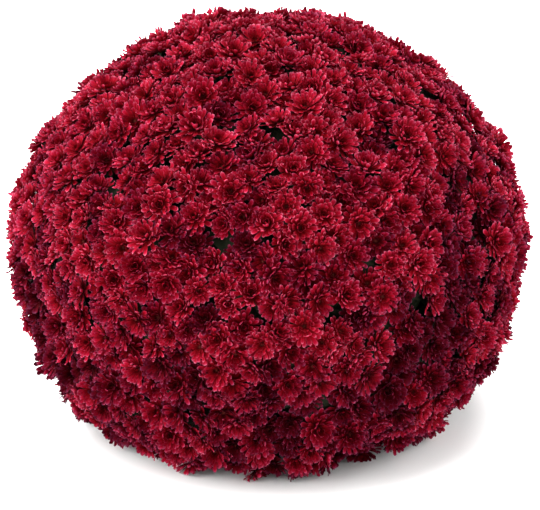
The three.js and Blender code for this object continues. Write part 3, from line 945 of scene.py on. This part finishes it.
def petal_material():
    """Crimson petals, finely ribbed: dark at the root, partly their own colour and partly painted
    shade, and lighter and pinker at the tip, partly their own colour and partly painted highlight.
    """
    nodes = Surface("petal", roughness=0.55)
    tone, across = nodes.strips(TONES)
    along = nodes.math("DIVIDE", nodes.math("SUBTRACT", nodes.v, PETAL_FOOT), PETAL_REACH)
    # Root to tip: the dark root is partly painted shade, and the bright pink tip partly painted
    # highlight.
    base = nodes.ramp(along, [
        (0.0, (0.044, 0.0018, 0.0024)),
        (0.32, (0.108, 0.0010, 0.0026)),
        (0.62, (0.168, 0.0008, 0.0050)),
        (0.84, (0.240, 0.0024, 0.0150)),
        (0.93, (0.315, 0.0170, 0.0490)),
        (1.0, (0.440, 0.0980, 0.1620)),
    ])
    # Each strip's multiplier: the heads' own random tone, and painted light and shade where height,
    # swells and sinking moved the strip.
    tone_and_painted_shade = nodes.ramp(tone, [
        (0.0, (0.29, 0.38, 0.44)),
        (0.2, (0.57, 0.62, 0.74)),
        (0.5, (0.96, 1.00, 1.02)),
        (1.0, (1.18, 1.65, 1.34)),
    ])
    # Pale margin at the sides and tip: partly own colour, partly painted rim highlight.
    edge = nodes.math("MULTIPLY", nodes.math("ABSOLUTE", nodes.math("SUBTRACT", across, 0.5)), 2)
    to_side = nodes.math("POWER", edge, MARGIN_SIDE_POWER)
    to_tip = nodes.math("POWER", along, MARGIN_TIP_POWER)
    margin_and_highlight = nodes.math("MULTIPLY", nodes.math("MULTIPLY", to_side, to_tip), MARGIN_SHARE)
    rimmed = nodes.mix("MIX", margin_and_highlight, base, MARGIN_AND_HIGHLIGHT_COLOUR)
    toned = nodes.mix("MULTIPLY", 1.0, rimmed, tone_and_painted_shade)
    rib = nodes.math("SINE", nodes.math("MULTIPLY", across, RIB_TURN))
    rib_share = nodes.math("MULTIPLY_ADD", rib, RIB_SHARE, RIB_SHARE)
    ribbed = nodes.mix("MULTIPLY", rib_share, toned, RIB_COLOUR)
    disc = nodes.ramp(nodes.v, [
        (0.0, (0.034, 0.0024, 0.0030)),
        (0.06, (0.056, 0.0075, 0.0060)),
        (0.085, (0.080, 0.0180, 0.0120)),
    ])
    on_disc = nodes.math("LESS_THAN", nodes.v, FLORETS_TOP)
    nodes.colour(nodes.mix("MIX", on_disc, ribbed, disc))
    nodes.bump(rib, strength=0.15, distance=0.0003)
    nodes.shader.inputs["Specular IOR Level"].default_value = 0.01
    nodes.shader.inputs["Sheen Weight"].default_value = 0.03
    nodes.shader.inputs["Sheen Roughness"].default_value = 0.4
    nodes.shader.inputs["Sheen Tint"].default_value = (1.0, 0.25, 0.45, 1)
    return nodes.material


def leaf_material():
    """Green leaves, painted much darker than their own colour as shade in the gaps between heads,
    with a pale midrib and side veins.
    """
    nodes = Surface("leaf", roughness=0.7)
    tone, across = nodes.strips(LEAF_TONES)
    from_midrib = nodes.math("ABSOLUTE", nodes.math("SUBTRACT", across, 0.5))
    # Painted shade: these tones are far darker than a leaf's own green.
    base = nodes.ramp(tone, [
        (0.0, (0.006, 0.0062, 0.0034)),
        (0.6, (0.010, 0.0112, 0.0058)),
        (1.0, (0.013, 0.0165, 0.0080)),
    ])
    mottle = nodes.noise(scale=6, detail=4, stretch=(6, 1, 1))
    mottle_share = nodes.math("MULTIPLY", mottle, MOTTLE_SHARE)
    mottled = nodes.mix("MULTIPLY", mottle_share, base, MOTTLE_COLOUR)
    slant = nodes.math("MULTIPLY", from_midrib, SIDE_VEIN_SLANT)
    slanted = nodes.math("SUBTRACT", nodes.v, slant)
    wave = nodes.math("SINE", nodes.math("MULTIPLY", slanted, SIDE_VEIN_TURN))
    side_vein = nodes.thin_line(nodes.math("ABSOLUTE", wave), SIDE_VEIN_SHARPNESS)
    midrib = nodes.thin_line(from_midrib, MIDRIB_SHARPNESS)
    vein = nodes.math("MAXIMUM", nodes.math("MULTIPLY", side_vein, SIDE_VEIN_SHARE), midrib)
    vein_share = nodes.math("MULTIPLY", vein, VEIN_SHARE)
    nodes.colour(nodes.mix("MIX", vein_share, mottled, VEIN_COLOUR))
    nodes.bump(vein, strength=0.4, distance=0.0006)
    nodes.shader.inputs["Specular IOR Level"].default_value = 0.06
    return nodes.material


def stem_material():
    """Stems: brown and woody by the crown, green further out, and green cups."""
    nodes = Surface("stem", roughness=0.65)
    base = nodes.ramp(nodes.v, [
        (0.0, (0.095, 0.062, 0.032)),
        (0.28, (0.075, 0.070, 0.030)),
        (0.5, (0.050, 0.085, 0.030)),
        (0.85, (0.024, 0.035, 0.014)),
        (1.0, (0.035, 0.045, 0.020)),
    ])
    streak = nodes.noise(scale=14, detail=3, stretch=(4, 0.6, 1))
    streak_share = nodes.math("MULTIPLY", streak, STREAK_SHARE)
    nodes.colour(nodes.mix("MULTIPLY", streak_share, base, STREAK_COLOUR))
    nodes.bump(streak, strength=0.3, distance=0.0005)
    return nodes.material


def bark_material():
    """Cracked brown bark, and pale wood with rings on the cut foot."""
    nodes = Surface("bark", roughness=0.85)
    crack = nodes.noise(scale=9, detail=6, stretch=(7, 1.5, 1))
    bark = nodes.ramp(crack, [
        (0.3, (0.035, 0.022, 0.013)),
        (0.5, (0.12, 0.078, 0.045)),
        (0.75, (0.23, 0.165, 0.10)),
    ])
    middle = (CUT_MAP_MIDDLE, CUT_MAP_MIDDLE, 0)
    offset = nodes.add("ShaderNodeVectorMath", nodes.place, middle)
    offset.operation = "SUBTRACT"
    length = nodes.add("ShaderNodeVectorMath", offset.outputs[0])
    length.operation = "LENGTH"
    angle = nodes.math("MULTIPLY", length.outputs["Value"], WOOD_RING_TURN)
    rings = nodes.math("SINE", angle)
    wood = nodes.ramp(nodes.math("MULTIPLY_ADD", rings, WOOD_RING_DEPTH, 0.5), [
        (0.1, (0.34, 0.25, 0.15)),
        (0.9, (0.52, 0.42, 0.28)),
    ])
    on_cut = nodes.math("LESS_THAN", nodes.v, CUT_MAP_TOP)
    nodes.colour(nodes.mix("MIX", on_cut, bark, wood))
    nodes.bump(crack, strength=0.7, distance=0.0012)
    return nodes.material


def floor_material():
    material = bpy.data.materials.new("pale_floor")
    material.use_nodes = True
    shader = material.node_tree.nodes["Principled BSDF"]
    shader.inputs["Base Color"].default_value = (0.93, 0.93, 0.925, 1)
    shader.inputs["Roughness"].default_value = 0.9
    shader.inputs["Specular IOR Level"].default_value = 0.1
    return material


# -------------------------------------------------------- camera, light and floor

# This section's lengths are metres, and the sensor's width millimetres.
CENTRE = Vector(BALL_CENTRE * METRES)
CAMERA_DISTANCE = 3.0
CAMERA_ELEVATION = math.radians(20)
NEAREST_SEEN = 0.1
FARTHEST_SEEN = 100
SENSOR_WIDTH = 36
FOCAL_PIXELS = 2962
IMAGE_WIDTH = 540
IMAGE_HEIGHT = 510
BALL_CENTRE_PIXEL = (269.4, 234.6)  # where the ball's centre shows in the image

SKY_EVEN = 0.72
SKY_SHARES = {"Y": 0.45, "Z": 0.7}  # further light from behind and from above

# Broad suns: name, direction from the ball's centre, width in degrees and strength.
SUNS = [
    ("top", (0, 0.2, 1), 50, 5.0),
    ("high_left", (-0.6, 0.1, 0.9), 50, 4.0),
    ("low_left", (-1, -0.2, 0.08), 60, 7.7),
    ("right", (1, 0.2, 0.5), 40, 1.9),
]
CARD_PLACE = (0.6, -0.4, 0.08)
CARD_SIDE = 0.3
CARD_POWER = 1.6

FLOOR_REACH = 30


def aim(thing, target):
    """Turns a camera or a light to look at a point."""
    thing.rotation_euler = (target - thing.location).to_track_quat("-Z", "Y").to_euler()


def make_camera():
    data = bpy.data.cameras.new("camera")
    data.sensor_width = SENSOR_WIDTH
    data.lens = FOCAL_PIXELS * SENSOR_WIDTH / IMAGE_WIDTH
    data.clip_start = NEAREST_SEEN
    data.clip_end = FARTHEST_SEEN
    camera = bpy.data.objects.new("camera", data)
    bpy.context.scene.collection.objects.link(camera)
    back = Vector((0, -math.cos(CAMERA_ELEVATION), math.sin(CAMERA_ELEVATION)))
    up = Vector((0, math.sin(CAMERA_ELEVATION), math.cos(CAMERA_ELEVATION)))
    pixel = CAMERA_DISTANCE / FOCAL_PIXELS
    right_by = pixel * (IMAGE_WIDTH / 2 - BALL_CENTRE_PIXEL[0])
    down_by = pixel * (IMAGE_HEIGHT / 2 - BALL_CENTRE_PIXEL[1])
    camera.location = CENTRE + back * CAMERA_DISTANCE
    aim(camera, CENTRE + Vector((1, 0, 0)) * right_by - up * down_by)
    bpy.context.scene.camera = camera


def add_light(data, place):
    """Puts a light at a place, where it shines on the ball's centre."""
    light = bpy.data.objects.new(data.name, data)
    bpy.context.scene.collection.objects.link(light)
    light.location = place
    aim(light, CENTRE)


def add_suns():
    for name, direction, angle, strength in SUNS:
        data = bpy.data.lights.new(name, "SUN")
        data.angle = math.radians(angle)
        data.energy = strength
        add_light(data, CENTRE + Vector(direction))


def add_card():
    """A small glowing square close to the plant, at the lower right."""
    data = bpy.data.lights.new("low_right", "AREA")
    data.size = CARD_SIDE
    data.energy = CARD_POWER
    add_light(data, CARD_PLACE)


def make_sky():
    """A white surrounding: even all round, and brighter behind and above."""
    world = bpy.data.worlds.new("studio")
    world.use_nodes = True
    nodes = Nodes(world.node_tree)
    direction = nodes.add("ShaderNodeTexCoord").outputs["Generated"]
    split = nodes.add("ShaderNodeSeparateXYZ", direction)
    total = SKY_EVEN
    for axis, share in SKY_SHARES.items():
        facing = nodes.math("MAXIMUM", split.outputs[axis], 0)
        total = nodes.math("MULTIPLY_ADD", nodes.math("POWER", facing, 2), share, total)
    background = nodes.tree.nodes["Background"]
    background.inputs["Color"].default_value = (1, 1, 1, 1)
    nodes.plug(total, background.inputs["Strength"])
    bpy.context.scene.world = world


def make_floor():
    mesh = bpy.data.meshes.new("floor")
    sides = ((-1, -1), (1, -1), (1, 1), (-1, 1))
    corners = [(x * FLOOR_REACH, y * FLOOR_REACH, 0) for x, y in sides]
    mesh.from_pydata(corners, [], [(0, 1, 2, 3)])
    mesh.materials.append(floor_material())
    floor = bpy.data.objects.new("floor", mesh)
    bpy.context.scene.collection.objects.link(floor)


def make_studio():
    bpy.context.scene.view_settings.view_transform = "Standard"
    make_sky()
    add_suns()
    add_card()
    make_floor()


# -------------------------------------------------------- the whole scene


def make_plant():
    random = np.random.default_rng(LOOKS_SEED)
    petal = petal_material()
    leaf = leaf_material()
    stem = stem_material()
    sprays = make_sprays()
    place_blooms(sprays)
    for spray in sprays:
        make_heads(spray, random, petal)
        make_stems(spray, stem)
        make_leaves(spray, random, leaf)
    make_crown(bark_material())


make_camera()
make_studio()
make_plant()
